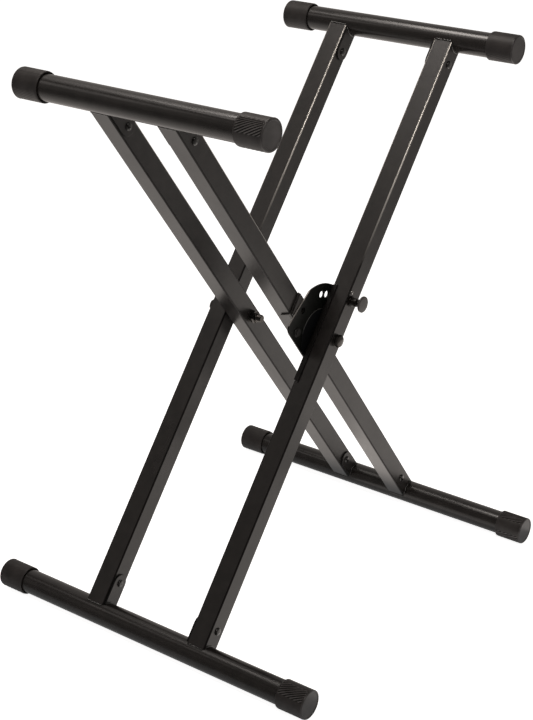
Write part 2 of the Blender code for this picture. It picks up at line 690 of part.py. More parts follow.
def build():
    clear_scene()
    materials = {
        "satin_black": paint("satin_black", (0.022, 0.021, 0.020), 0.42, 0.0),
        "gloss_black": paint("gloss_black", (0.012, 0.012, 0.012), 0.18, 0.0),
        "cap_plastic": paint("cap_plastic", (0.035, 0.034, 0.034), 0.6, 0.0),
        "grey_plastic": paint("grey_plastic", (0.10, 0.10, 0.10), 0.45, 0.0),
        "black_zinc": paint("black_zinc", (0.04, 0.04, 0.04), 0.3, 0.9),
        "zinc": paint("zinc", (0.25, 0.25, 0.26), 0.3, 1.0),
        "nylon": paint("nylon", (0.05, 0.05, 0.05), 0.5, 0.0),
    }
    outer = empty("outer_frame", (0, 0, PIVOT_HEIGHT))
    inner = empty("inner_frame", (0, 0, PIVOT_HEIGHT))
    right, left = HALF_OPENING, -HALF_OPENING
    frame_half(materials, outer, right, (OUTER_BACK_Y, OUTER_FRONT_Y), (-1, 1),
               "upper_right", "lower_left")
    frame_half(materials, inner, left, (INNER_BACK_Y, INNER_FRONT_Y), (-1, 1),
               "upper_left", "lower_right")
    plunger_hole = (*plunger_spot(), PIN_RADIUS + PIN_CLEARANCE)
    leg("outer_leg_back", materials["satin_black"], outer, OUTER_BACK_Y, right)
    leg("outer_leg_front", materials["satin_black"], outer, OUTER_FRONT_Y, right, [plunger_hole])
    leg("inner_leg_back", materials["satin_black"], inner, INNER_BACK_Y, left)
    leg("inner_leg_front", materials["satin_black"], inner, INNER_FRONT_Y, left)
    back_pivot(materials, outer)
    front_pivot(materials, outer)
    sector_plate(materials, inner, left)
    lock_bracket(materials["satin_black"], inner, left)
    lock_strap(materials["satin_black"], outer, right)
    plunger_housing(materials, outer, right)
    plunger_spring(materials["zinc"], outer, right)
    x, z = plunger_spot()
    turn = Matrix.Rotation(right, 3, "Y")
    slide = empty("lock_slide", turn @ Vector((x, 0, z)) + Vector((0, PIN_TIP_Y, 0)), outer)
    plunger_pin(materials, slide)


build()
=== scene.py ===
"""Looks of the double X keyboard stand: tubes, legs, caps, fixings, welds, finishes and light."""
import json
import math

import bmesh
import bpy
from mathutils import Matrix, Vector


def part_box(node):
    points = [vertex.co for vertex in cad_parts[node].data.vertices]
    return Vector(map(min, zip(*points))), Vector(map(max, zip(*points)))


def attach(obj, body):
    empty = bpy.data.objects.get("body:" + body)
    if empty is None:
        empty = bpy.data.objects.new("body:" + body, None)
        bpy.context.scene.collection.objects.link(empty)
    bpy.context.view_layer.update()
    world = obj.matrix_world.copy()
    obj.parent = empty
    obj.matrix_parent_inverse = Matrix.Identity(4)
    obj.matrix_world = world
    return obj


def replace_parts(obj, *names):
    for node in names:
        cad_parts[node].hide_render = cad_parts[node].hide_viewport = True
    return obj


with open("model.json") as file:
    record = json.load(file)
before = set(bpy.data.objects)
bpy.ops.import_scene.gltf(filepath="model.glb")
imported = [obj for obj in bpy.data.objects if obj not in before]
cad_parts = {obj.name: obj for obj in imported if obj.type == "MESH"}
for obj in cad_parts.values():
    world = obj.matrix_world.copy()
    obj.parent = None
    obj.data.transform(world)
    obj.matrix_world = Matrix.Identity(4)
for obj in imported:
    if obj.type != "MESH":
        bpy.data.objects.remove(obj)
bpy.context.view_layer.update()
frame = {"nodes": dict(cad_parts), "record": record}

# Camera, from the photograph
CAMERA_AZIMUTH = math.radians(-53.608)
CAMERA_ELEVATION = math.radians(23.292)
CAMERA_ROLL = math.radians(0.834)
CAMERA_DISTANCE = 2.9688
CAMERA_TARGET = Vector((0.34186, 0.27360, 0.17288))
CAMERA_LENS = 80.404

# Points round a small piece, a hexagon, a large piece and the floor
ROUND = 32
HEX_ROUND = 48
LARGE_ROUND = 96
FLOOR_ROUND = 64

# Angles in degrees above which an edge stays sharp on most pieces, on legs and on caps
SHARP = 35
LEG_SHARP = 50
CAP_SHARP = 28

# Tubes and legs
GAP = 0.0003
WALL = 0.0012
COPE_GAP = 0.0006
LEG_CORNER = 0.002
CORNER_STEPS = 8
FACE_SPLITS = 12

# Cut edges of sheet metal: radius, steps, least angle in degrees that is rounded, and merge distance
SOFT_EDGE = 0.0005
SOFT_STEPS = 2
SOFT_ANGLE = 50
MERGE = 0.00005

# Heights above the pivot between which a painted highlight fades in on the legs' upper corners, and
# another on the disc's rim
CORNER_HIGHLIGHT_LOW = 0.10
CORNER_HIGHLIGHT_HIGH = 0.26
DISC_DARK = 0.012
DISC_LIGHT = 0.026

# End caps: mouth, edges, and the plain bands beside the knurl
CAP_MOUTH_GAP = 0.0013
CAP_MOUTH_DEPTH = 0.006
CAP_EDGE = 0.0008
CAP_FILLET = 0.0018
FILLET_STEPS = 4
CAP_RIM = 0.0016
CAP_RECESS = 0.0006
CAP_PLAIN = 0.0028
LAND_DEPTH = 0.00045

# Knurl: fields round the cap, ridges round the whole, and samples of each ridge
KNURL_FIELDS = 3
KNURL_HALF_FIELD = math.radians(29)
KNURL_SLOPE = math.radians(1.9)
KNURL_RIDGES = 36
KNURL_SAMPLES = 4
KNURL_PITCH = 0.0071
KNURL_DEPTH = 0.0011
# The middle of one field of each cap, in degrees from the left up over the top
KNURL_TURN = {
    "upper_left_cap_front": 34, "upper_left_cap_back": 90,
    "upper_right_cap_front": 84, "upper_right_cap_back": 90,
    "lower_left_cap_front": 60, "lower_left_cap_back": 90,
    "lower_right_cap_front": 84, "lower_right_cap_back": 90,
}
# Caps with a deep knurl, with painted shade in its grooves and painted light on its ridges, and the
# share of its depth that the others have
CRISP_CAPS = ("upper_left_cap_front", "lower_left_cap_front", "lower_right_cap_front")
WORN_KNURL = 0.3

# Bolts, nuts and washers; the top is the share of a hexagon's width that its flat end covers
BOLT_RADIUS = 0.006
THREAD_PITCH = 0.0015
THREAD_DEPTH = 0.0007
THREAD_STEPS = 4
HEX_TOP = 0.94
HEX_SLOPE = math.tan(math.radians(30))
WASHER_EASE = 0.25

# Rivets: the shares of a head's height at its rim, and of its radius in its flat middle
RIVET_RADIUS = 0.004
RIVET_DIMPLE = 0.0004
DOME_RINGS = 7
DOME_RIM = 0.15
DOME_FLAT = 0.2
STOP_FLAT = 0.75

# The bright screw beside the plunger, in the axes of the leg that carries it
SCREW_PLACE = (-0.0110, 0.0747)
SCREW_RADIUS = 0.0032
SCREW_HEIGHT = 0.0022

# Knob: its profile and the rings of its low crown, as shares of its radius and its depth
KNOB_PROFILE = ((0.3, 0.0), (0.75, 0.0), (0.9, 0.06), (0.975, 0.18), (1.0, 0.3), (1.0, 0.58),
                (0.98, 0.66), (0.93, 0.71))
KNOB_RINGS = (0.85, 0.7, 0.5, 0.3, 0.1)
KNOB_FACE = 0.72
KNOB_CROWN = 0.06

# Plunger pin and barrel: radii as shares of the piece's own, and the collar's share of the barrel
PIN_TIP = 0.75
PIN_STEM = 0.72
COLLAR_SHARE = 0.45
COLLAR_END = 0.8
COLLAR_CHAMFER = 0.15
BARREL_CORE = 0.85
BARREL_THREAD = 0.98
BARREL_PITCH = 0.0012
OVERLAP = 0.0001

# Welds: the bead, its ripples, and how much of its radius its ends and its swells have
BEAD_RADIUS = 0.0013
BEAD_RIPPLE = 0.0026
BEAD_STEPS = 4
BEAD_SIDES = 10
BEAD_END = 0.35
BEAD_THIN = 0.85
BEAD_SCALLOP = 0.25
BEAD_UNEVEN = 0.1
UNEVEN_RATE = 0.43
UNEVEN_START = 3
TAB_WELD_STEPS = 40
TAB_WELD_SHARE = 0.9
TAB_WELD_RAISE = 0.3
TACK_LENGTH = 0.005

# Finishes: the noise that drifts the roughness, mottles the colour and waves the surface
DRIFT_SCALE = 9.0
DRIFT_DETAIL = 2.0
DRIFT = 0.15
MOTTLE_SCALE = 60.0
MOTTLE_DETAIL = 4.0
MOTTLE = 0.25
WAVE_SCALE = 45.0
WAVE_DETAIL = 1.0
GRAIN_DETAIL = 2.0
# The part of a 0 to 1 value that is spread unless another is given, and the part for a sheet's edge
SPREAD_LOW = 0.3
SPREAD_HIGH = 0.7
SHEET_EDGE_LOW = 0.5
SHEET_EDGE_HIGH = 0.95
LEG_BLACK = (0.0130, 0.0112, 0.0103)
DEAD_BLACK = (0.001, 0.001, 0.001)

# Light: each patch of the studio is a direction, the cosines where it starts and is full, and a radiance
WARM = (1.0, 0.928, 0.872)
WHITE = (1.0, 1.0, 1.0)
PATCHES = (
    ((0.7, 0.6, 0.35), 0.55, 0.95, 0.38),
    ((0.66, -0.35, -0.66), 0.35, 0.95, 0.25),
    ((0.1, 0.5, -0.85), 0.4, 1.0, 0.87),
    ((-0.58, 0.72, 0.38), 0.935, 1.0, 0.2),
    ((0.0, 0.0, 1.0), -1.1, -1.0, 0.13),
)
BACKDROP = 1.0
# Softboxes: place, width, height and radiance
SOFTBOX_AIM = Vector((0.0, 0.0, 0.4))
SOFTBOXES = {
    "top_softbox": ((0.05, 0.57, 2.27), 0.6, 0.5, 12.0),
    "top_left_softbox": ((-0.66, 0.86, 2.27), 0.36, 0.3, 2.4),
    "top_middle_softbox": ((-0.2, 1.06, 2.27), 0.3, 0.17, 3.4),
    "top_back_softbox": ((-0.1, 1.3, 2.27), 0.9, 0.35, 0.7),
    "side_softbox": ((-1.3, 1.75, 2.3), 0.8, 0.5, 1.0),
    "front_softbox": ((-1.0, -1.35, 2.45), 1.5, 0.36, 8.5),
}
# Lit parts of the floor: low and high X, low and high Y, and radiance
BOUNCE_HEIGHT = 0.002
BOUNCES = {
    "floor_bounce_left": (-0.27, 0.27, -0.75, 0.06, 0.55),
    "floor_bounce_right": (0.35, 1.1, -0.95, 0.0, 0.65),
}
FLOOR_RADIUS = 30.0
FLOOR_COLOUR = (0.86, 0.86, 0.86)
FLOOR_ROUGHNESS = 0.9
FLOOR_SPECULAR = 0.1
FLOOR_GLOW = 0.92
# Distances between which the floor's dark contact fades out of a reflection, and how bright it is
CONTACT_NEAR = 0.03
CONTACT_FAR = 0.12
CONTACT_GLOW = 0.35


def low_corner(node):
    """The low corner of a CAD node's box."""
    return Vector(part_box(node)[0])


def high_corner(node):
    """The high corner of a CAD node's box."""
    return Vector(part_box(node)[1])


def middle(node):
    """The middle of a CAD node's box."""
    return (low_corner(node) + high_corner(node)) / 2


def size_of(node):
    """The size of a CAD node's box."""
    return high_corner(node) - low_corner(node)


# Places read from the frame
UPPER_RIGHT = middle("upper_right_tube")
PIVOT = (UPPER_RIGHT + middle("lower_left_tube")) / 2
HALF_OPENING = math.atan2(UPPER_RIGHT.x - PIVOT.x, UPPER_RIGHT.z - PIVOT.z)
HALF_LEG = math.hypot(UPPER_RIGHT.x - PIVOT.x, UPPER_RIGHT.z - PIVOT.z)
LEG = size_of("outer_leg_front").y
TUBE_RADIUS = size_of("upper_right_tube").x / 2
TUBES = {"upper_right": "outer_frame", "lower_left": "outer_frame",
         "upper_left": "inner_frame", "lower_right": "inner_frame"}
LEGS = {"outer_leg_back": "outer_frame", "outer_leg_front": "outer_frame",
        "inner_leg_back": "inner_frame", "inner_leg_front": "inner_frame"}


def leg_frame(turn):
    """World place of a leg's own axes: X across the leg, Z up along it, from the pivot."""
    return Matrix.Translation(PIVOT) @ Matrix.Rotation(turn, 4, "Y")


FRAMES = {"outer_frame": leg_frame(HALF_OPENING), "inner_frame": leg_frame(-HALF_OPENING)}


def in_leg(body, node):
    """The middle of a node in the axes of its body's legs."""
    return FRAMES[body].inverted() @ middle(node)


def points_in(node, matrix):
    """A node's points in the axes of a matrix."""
    back = matrix.inverted()
    piece = frame["nodes"][node]
    return [back @ (piece.matrix_world @ vertex.co) for vertex in piece.data.vertices]


def width_in(node, matrix):
    """How far a node's points reach along the X axis of a matrix."""
    across = [point.x for point in points_in(node, matrix)]
    return max(across) - min(across)


def new_object(name, data):
    """An object in the scene that shows some data."""
    thing = bpy.data.objects.new(name, data)
    bpy.context.scene.collection.objects.link(thing)
    return thing


def to_mesh(name, shape):
    """The mesh of a bmesh, its faces turned outward; the bmesh is freed."""
    bmesh.ops.recalc_face_normals(shape, faces=shape.faces)
    mesh = bpy.data.meshes.new(name)
    shape.to_mesh(mesh)
    shape.free()
    return mesh


def add(name, shape, material, body, sharp=SHARP):
    """Make a piece from a bmesh in world places; edges of more than sharp degrees stay sharp."""
    mesh = to_mesh(name, shape)
    mesh.materials.append(material)
    mesh.shade_smooth()
    mesh.set_sharp_from_angle(angle=math.radians(sharp))
    piece = new_object(name, mesh)
    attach(piece, body)
    return piece


def loop_of(shape, points):
    """New vertices of a bmesh at points."""
    return [shape.verts.new(point) for point in points]


def bridge(shape, loops):
    """Faces between closed loops with equal counts."""
    for lower, upper in zip(loops, loops[1:]):
        for here in range(len(lower)):
            there = (here + 1) % len(lower)
            shape.faces.new((lower[here], lower[there], upper[there], upper[here]))


def skinned(shape, loops):
    """Faces between loops, and over the first and the last."""
    bridge(shape, loops)
    shape.faces.new(loops[0])
    shape.faces.new(loops[-1])
    return shape


def circle_row(radius, y, count, start=0.0):
    """Points round the Y axis from a start angle; radius is a number or a function of the angle."""
    row = []
    for index in range(count):
        angle = start + 2 * math.pi * index / count
        reach = radius(angle) if callable(radius) else radius
        row.append(Vector((reach * math.cos(angle), y, reach * math.sin(angle))))
    return row


def turned(profile, count=ROUND, hollow=False, twist=0.0):
    """Spin a profile of (radius, y) about the Y axis.

    A hollow one closes on itself, or else its ends close. The twist is the angle that the points turn
    by along each unit of y.
    """
    shape = bmesh.new()
    loops = [loop_of(shape, circle_row(radius, y, count, twist * y)) for radius, y in profile]
    if hollow:
        bridge(shape, loops + loops[:1])
        return shape
    return skinned(shape, loops)


def placed(shape, matrix):
    """A bmesh moved by a matrix."""
    shape.transform(matrix)
    return shape


def at(point, turn=0.0, backward=False):
    """A place for a shape along +Y, turned about Y; it points along -Y where backward is true."""
    matrix = Matrix.Translation(point) @ Matrix.Rotation(turn, 4, "Y")
    if backward:
        matrix = matrix @ Matrix.Rotation(math.pi, 4, "X")
    return matrix


def merged(*parts):
    """One bmesh that holds the shells of several."""
    whole = bmesh.new()
    for part in parts:
        mesh = bpy.data.meshes.new("part")
        part.to_mesh(mesh)
        part.free()
        whole.from_mesh(mesh)
        bpy.data.meshes.remove(mesh)
    return whole


def new_material(name, colour, roughness, metallic=0.0, specular=0.5):
    """A material and its main shader."""
    material = bpy.data.materials.new(name)
    material.use_nodes = True
    shader = material.node_tree.nodes["Principled BSDF"]
    shader.inputs["Base Color"].default_value = (*colour, 1.0)
    shader.inputs["Roughness"].default_value = roughness
    shader.inputs["Metallic"].default_value = metallic
    shader.inputs["Specular IOR Level"].default_value = specular
    return material, shader


def noise(owner, scale, detail):
    """A 0 to 1 noise over the object.

    Here and below, the owner of the nodes is a material or a world.
    """
    nodes = owner.node_tree.nodes
    texture = nodes.new("ShaderNodeTexNoise")
    texture.inputs["Scale"].default_value = scale
    texture.inputs["Detail"].default_value = detail
    place = nodes.new("ShaderNodeTexCoord").outputs["Object"]
    owner.node_tree.links.new(place, texture.inputs["Vector"])
    return texture.outputs["Fac"]


def spread(owner, value, low, high, from_low=SPREAD_LOW, from_high=SPREAD_HIGH, curve="LINEAR"):
    """Map a part of a value, between from_low and from_high, onto the range from low to high."""
    node = owner.node_tree.nodes.new("ShaderNodeMapRange")
    node.interpolation_type = curve
    node.inputs["From Min"].default_value = from_low
    node.inputs["From Max"].default_value = from_high
    node.inputs["To Min"].default_value = low
    node.inputs["To Max"].default_value = high
    owner.node_tree.links.new(value, node.inputs["Value"])
    return node.outputs["Result"]


def maths(owner, operation, *values):
    """A Math node's result for values from other nodes."""
    node = owner.node_tree.nodes.new("ShaderNodeMath")
    node.operation = operation
    for value, socket in zip(values, node.inputs):
        owner.node_tree.links.new(value, socket)
    return node.outputs["Value"]


def mixed(owner, share, first, second):
    """A shader that goes from the first to the second as the share goes from 0 to 1."""
    node = owner.node_tree.nodes.new("ShaderNodeMixShader")
    for value, socket in zip((share, first, second), node.inputs):
        owner.node_tree.links.new(value, socket)
    return node.outputs["Shader"]


def blend(owner, factor, first, second):
    """Mix two colours by a 0 to 1 value; each is a colour or the output of a node."""
    node = owner.node_tree.nodes.new("ShaderNodeMix")
    node.data_type = "RGBA"
    owner.node_tree.links.new(factor, node.inputs["Factor"])
    for socket, colour in (("A", first), ("B", second)):
        if isinstance(colour, tuple):
            node.inputs[socket].default_value = (*colour, 1.0)
        else:
            owner.node_tree.links.new(colour, node.inputs[socket])
    return node.outputs["Result"]


def bump(material, shader, height, distance, under=None):
    """Bump a shader by a height, over another bump where under is given."""
    node = material.node_tree.nodes.new("ShaderNodeBump")
    node.inputs["Distance"].default_value = distance
    material.node_tree.links.new(height, node.inputs["Height"])
    if under is not None:
        material.node_tree.links.new(under, node.inputs["Normal"])
    material.node_tree.links.new(node.outputs["Normal"], shader.inputs["Normal"])
    return node.outputs["Normal"]


def along(owner, source, axis):
    """A vector's length along an axis; the source is Normal, Object for the place, or Generated."""
    nodes = owner.node_tree.nodes
    maker = "ShaderNodeNewGeometry" if source == "Normal" else "ShaderNodeTexCoord"
    dot = nodes.new("ShaderNodeVectorMath")
    dot.operation = "DOT_PRODUCT"
    dot.inputs[1].default_value = axis
    owner.node_tree.links.new(nodes.new(maker).outputs[source], dot.inputs[0])
    return dot.outputs["Value"]


def above(material, low, high, axis=(0, 0, 1)):
    """0 below a place along an axis, and 1 above another."""
    return spread(material, along(material, "Object", axis), 0, 1, low, high)


def sheet_edge(material):
    """1 on the thickness of a sheet that lies across Y, and 0 on its faces."""
    facing = maths(material, "ABSOLUTE", along(material, "Normal", (0, 1, 0)))
    return spread(material, facing, 1, 0, SHEET_EDGE_LOW, SHEET_EDGE_HIGH)


def painted_edge_highlight(material):
    """1 on the long straight edge of the lock's plate, where a painted highlight goes."""
    legs = FRAMES["inner_frame"]
    axis = legs.col[2].to_3d()
    side = max(point.z for point in points_in("lock_sector_plate", legs)) + PIVOT.dot(axis)
    near = above(material, side - 3 * SOFT_EDGE, side - SOFT_EDGE, axis)
    return maths(material, "MULTIPLY", sheet_edge(material), near)


def painted_rim_highlight(material):
    """1 on the upper part of the rim of the lock's disc, where a painted highlight goes."""
    high = above(material, PIVOT.z + DISC_DARK, PIVOT.z + DISC_LIGHT)
    return maths(material, "MULTIPLY", sheet_edge(material), high)


def painted_gap_shadow(material):
    """1 on what faces the front, where the strap's edges carry a painted shadow."""
    return spread(material, along(material, "Normal", (0, -1, 0)), 0, 1)


def painted_corner_highlight(material):
    """1 on the upper parts of the legs, where the corners carry a painted highlight."""
    return above(material, PIVOT.z + CORNER_HIGHLIGHT_LOW, PIVOT.z + CORNER_HIGHLIGHT_HIGH)


def coated(name, colour, roughness, grain, depth, metallic=0.0, specular=0.5, waves=0.0, painted_light=None):
    """A skin of paint, plating or moulded plastic: grain, a drifting roughness and a faint mottle.

    The grain is a scale of noise, and depth and waves are heights of bumps. Where painted_light is
    given, it is a function that says where a painted highlight or painted shadow goes, and the colour,
    metal and roughness there, and nothing drifts.
    """
    material, shader = new_material(name, colour, roughness, metallic, specular)
    links = material.node_tree.links
    light = tuple(min(1.0, channel * (1 + MOTTLE)) for channel in colour)
    dark = tuple(channel * (1 - MOTTLE) for channel in colour)
    patches = spread(material, noise(material, MOTTLE_SCALE, MOTTLE_DETAIL), 0, 1)
    skin = blend(material, patches, dark, light)
    if painted_light is None:
        drift = noise(material, DRIFT_SCALE, DRIFT_DETAIL)
        polish = spread(material, drift, roughness * (1 - DRIFT), roughness * (1 + DRIFT))
    else:
        where, painted_light_colour, painted_light_metal, painted_light_roughness = painted_light
        share = where(material)
        skin = blend(material, share, skin, painted_light_colour)
        links.new(spread(material, share, metallic, painted_light_metal, 0, 1), shader.inputs["Metallic"])
        polish = spread(material, share, roughness, painted_light_roughness, 0, 1)
    links.new(polish, shader.inputs["Roughness"])
    links.new(skin, shader.inputs["Base Color"])
    under = None
    if waves:
        under = bump(material, shader, noise(material, WAVE_SCALE, WAVE_DETAIL), waves)
    bump(material, shader, noise(material, grain, GRAIN_DETAIL), depth, under)
    return material


def slot_finishes():
    """The finishes that carry the names of the record's material slots."""
    return {
        "satin_black": coated("leg_coat", LEG_BLACK, roughness=0.31, grain=900.0, depth=0.00003,
                              waves=0.00006),
        "gloss_black": coated("tube_enamel", (0.0120, 0.0102, 0.0092), roughness=0.23, grain=700.0,
                              depth=0.00001, waves=0.00003),
        "cap_plastic": coated("cap_rubber", (0.024, 0.0208, 0.0198), roughness=0.44, grain=1500.0,
                              depth=0.00006, specular=0.27),
        "grey_plastic": coated("knob_plastic", (0.045, 0.041, 0.0395), roughness=0.36, grain=1200.0,
                               depth=0.00004),
        "black_zinc": coated("rivet_enamel", (0.004, 0.0036, 0.0034), roughness=0.13, grain=1200.0,
                             depth=0.00002, specular=1.0),
        "zinc": coated("bolt_metal", (0.07, 0.065, 0.061), roughness=0.1, grain=1200.0,
                       depth=0.00003, metallic=0.95),
        # Painted highlight on the upper part of the disc's rim; the disc's near-black colour is partly
        # its own and partly painted shade from the strap and leg over it
        "nylon": coated("disc_nylon", (0.0024, 0.0028, 0.0036), roughness=0.45, grain=1200.0,
                        depth=0.00003, specular=0.2, painted_light=(painted_rim_highlight, (0.12, 0.12, 0.115), 0.0, 0.4)),
    }


def lock_finishes():
    """The finishes of the lock's plate, strap, stop, barrel and screw."""
    return {
        # Painted highlight: a light colour along the plate's long straight edge
        "plate": coated("plate_enamel", (0.0032, 0.0036, 0.003), roughness=0.34, grain=700.0,
                        depth=0.00003, specular=0.2,
                        painted_light=(painted_edge_highlight, (0.34, 0.32, 0.3), 0.2, 0.3)),
        "stop": coated("stop_metal", (0.012, 0.011, 0.0105), roughness=0.4, grain=1200.0,
                       depth=0.00004, specular=0.3),
        "barrel": coated("barrel_metal", (0.006, 0.005, 0.0042), roughness=0.3, grain=1200.0,
                         depth=0.00004, specular=0.25),
        "bright": coated("screw_metal", (0.62, 0.61, 0.59), roughness=0.18, grain=1200.0,
                         depth=0.00003, metallic=1.0),
        # Painted shade: the strap is the leg's paint darkened, and its front-facing edges are a painted
        # shadow gap
        "strap": coated("strap_coat", (0.006, 0.0052, 0.0049), roughness=0.31, grain=900.0,
                        depth=0.00003, specular=0.2, painted_light=(painted_gap_shadow, DEAD_BLACK, 0.0, 1.0)),
    }


def trim_finishes():
    """The finishes of the legs' corners, the tabs, the welds and the caps' knurl and face."""
    return {
        # Painted highlight and painted shade: the upper corners turn bright metal high up and are a
        # painted dark line below
        "corner": coated("corner_coat", (0.004, 0.0035, 0.0032), roughness=0.4, grain=900.0,
                         depth=0.00002, specular=0.15, painted_light=(painted_corner_highlight, (0.5, 0.48, 0.45), 0.9, 0.27)),
        # Painted shade: the lower corners are darker than the leg's paint, a painted dark line
        "low_corner": coated("low_corner_coat", (0.007, 0.0062, 0.0057), roughness=0.4, grain=900.0,
                             depth=0.00002, specular=0.25),
        # Painted shadow: the tabs' cut edges are black, for the shadow gap round each tab
        "tab": coated("tab_coat", LEG_BLACK, roughness=0.31, grain=900.0, depth=0.00003,
                      painted_light=(sheet_edge, DEAD_BLACK, 0.0, 1.0)),
        "bead": coated("weld_enamel", (0.005, 0.0045, 0.0042), roughness=0.13, grain=900.0,
                       depth=0.00005, specular=1.0),
        # Painted shade in the knurl's grooves, painted light on its ridges, and the closed face a
        # glossier moulding whose lighter colour is painted light
        "cap_groove": coated("cap_groove_rubber", (0.008, 0.0073, 0.007), roughness=0.8, grain=1500.0,
                             depth=0.00003, specular=0.2),
        "cap_ridge": coated("cap_ridge_rubber", (0.06, 0.054, 0.052), roughness=0.42, grain=1500.0,
                            depth=0.00003),
        "cap_face": coated("cap_face_rubber", (0.034, 0.0305, 0.0295), roughness=0.34, grain=1500.0,
                           depth=0.00003),
    }


def tabs():
    """The names of the eight tabs."""
    return [f"{tube}_tab_{place}" for tube in TUBES for place in ("back", "front")]


def paint_nodes(finish):
    """Give every CAD node its finish, by its material slot in the record."""
    # The plate's finish has a painted highlight on its edge, and the strap's and the tabs' finishes
    # painted shadows
    special = {"lock_sector_plate": "plate", "lock_strap": "strap"}
    special.update((name, "tab") for name in tabs())
    for part in frame["record"]["subparts"]:
        name = part["node"]
        for slot in frame["nodes"][name].material_slots:
            slot.material = finish[special.get(name, part["material_slot"])]


def soften_edges():
    """Round the cut edges of the sheet metal pieces a little, so that they catch the light."""
    for name in ["lock_sector_plate", "lock_bracket", "lock_packer", "lock_strap"] + tabs():
        piece = frame["nodes"][name]
        weld = piece.modifiers.new("Weld", "WELD")
        weld.merge_threshold = MERGE
        bevel = piece.modifiers.new("Bevel", "BEVEL")
        bevel.width = SOFT_EDGE
        bevel.segments = SOFT_STEPS
        bevel.limit_method = "ANGLE"
        bevel.angle_limit = math.radians(SOFT_ANGLE)


def smooth_tubes(finish):
    """The four bearer tubes, with finer sides than the solids have."""
    for tube, body in TUBES.items():
        node = f"{tube}_tube"
        half = size_of(node).y / 2
        inside = TUBE_RADIUS - WALL
        profile = [(TUBE_RADIUS, -half), (TUBE_RADIUS, half), (inside, half), (inside, -half)]
        shape = placed(turned(profile, LARGE_ROUND, hollow=True), at(middle(node)))
        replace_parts(add(node + "_smooth", shape, finish["gloss_black"], body), node)


def section(half, corner):
    """Outline of a leg in X and Y; its front and back are split for the coped ends."""
    outline = []
    width = 2 * (half - corner)
    for quarter in range(4):
        centre = Vector(((half - corner) * (1 if quarter in (0, 3) else -1),
                         (half - corner) * (1 if quarter < 2 else -1)))
        for step in range(CORNER_STEPS + 1):
            angle = (quarter + step / CORNER_STEPS) * math.pi / 2
            outline.append(centre + Vector((math.cos(angle), math.sin(angle))) * corner)
        if quarter in (0, 2):
            direction = -1 if quarter == 0 else 1
            start = outline[-1]
            for step in range(1, FACE_SPLITS):
                outline.append(start + Vector((direction * width * step / FACE_SPLITS, 0)))
    return outline


def coped_end(x):
    """Distance from the pivot to a leg's end, which is hollowed to lie on the tube."""
    return HALF_LEG - math.sqrt((TUBE_RADIUS + COPE_GAP) ** 2 - x ** 2)


def leg_shape():
    """A square tube with rounded corners and coped ends, in its own axes."""
    shape = bmesh.new()
    outer = section(LEG / 2, LEG_CORNER)
    inner = section(LEG / 2 - WALL, LEG_CORNER - WALL)
    loops = []
    for outline, end in ((outer, -1), (outer, 1), (inner, 1), (inner, -1)):
        points = [(point.x, point.y, end * coped_end(point.x)) for point in outline]
        loops.append(loop_of(shape, points))
    bridge(shape, loops + loops[:1])
    return shape


def leg_holes(leg, body):
    """The holes of a leg, as (x, z, radius) in its own axes: pivot, rivets and plunger."""
    place = leg.rsplit("_", 1)[1]
    spots = [(0, 0, BOLT_RADIUS + GAP)]
    for tube in (name for name, owner in TUBES.items() if owner == body):
        spot = in_leg(body, f"{tube}_rivet_{place}")
        spots.append((spot.x, spot.z, RIVET_RADIUS + GAP))
    if leg == "outer_leg_front":
        spot = in_leg(body, "plunger_barrel")
        spots.append((spot.x, spot.z, size_of("plunger_pin").x / 2 + GAP))
    return spots


def drilled(shape, spots):
    """Take round holes along Y at (x, z, radius) out of a shape."""
    cutters = bmesh.new()
    for x, z, radius in spots:
        row = circle_row(radius, 0, ROUND)
        loops = [loop_of(cutters, [point + Vector((x, y, z)) for point in row]) for y in (-LEG, LEG)]
        skinned(cutters, loops)
    body = new_object("drilled", to_mesh("drilled", shape))
    tool = new_object("cutters", to_mesh("cutters", cutters))
    modifier = body.modifiers.new("Holes", "BOOLEAN")
    modifier.operation = "DIFFERENCE"
    modifier.solver = "EXACT"
    modifier.object = tool
    cut = body.evaluated_get(bpy.context.evaluated_depsgraph_get())
    result = bmesh.new()
    result.from_mesh(cut.data)
    for thing in (body, tool):
        mesh = thing.data
        bpy.data.objects.remove(thing)
        bpy.data.meshes.remove(mesh)
    return result


def mark_corners(shape, upper):
    """Number a leg's faces: 0 is flat, 1 its corners on the upper side of X, and 2 the lower ones."""
    # Face 1 takes the painted corner highlight and dark line, face 2 the painted dark corner line
    flat = LEG / 2 - LEG_CORNER
    for face in shape.faces:
        spot = face.calc_center_median()
        if min(abs(spot.x), abs(spot.y)) > flat:
            face.material_index = 1 if upper * spot.x > 0 else 2


def smooth_legs(finish):
    """Legs with their holes and fine corners; the upper corners carry a painted highlight high up and a
    painted dark line below it, and the lower corners a painted dark line.
    """
    for leg, body in LEGS.items():
        shape = drilled(leg_shape(), leg_holes(leg, body))
        mark_corners(shape, -1 if body == "outer_frame" else 1)
        matrix = FRAMES[body].copy()
        matrix.translation.y = middle(leg).y
        shape = placed(shape, matrix)
        piece = add(leg + "_smooth", shape, finish["satin_black"], body, LEG_SHARP)
        piece.data.materials.append(finish["corner"])
        piece.data.materials.append(finish["low_corner"])
        normals = piece.modifiers.new("Normals", "WEIGHTED_NORMAL")
        normals.keep_sharp = True
        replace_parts(piece, leg)


def wave(value):
    """A triangle wave from 0 to 1 and back over each whole step of value."""
    return 1 - abs(2 * (value % 1) - 1)


def knurl(angle, y):
    """Height from 0 to 1 of the knurl's helical ridges."""
    return wave(KNURL_RIDGES * angle / (2 * math.pi) - y / KNURL_PITCH)


def field(angle, turn):
    """1 inside the knurled fields and 0 on the lands between them."""
    step = 2 * math.pi / KNURL_FIELDS
    from_middle = abs((angle - turn + step / 2) % step - step / 2)
    return min(1.0, max(0.0, (KNURL_HALF_FIELD - from_middle) / KNURL_SLOPE))


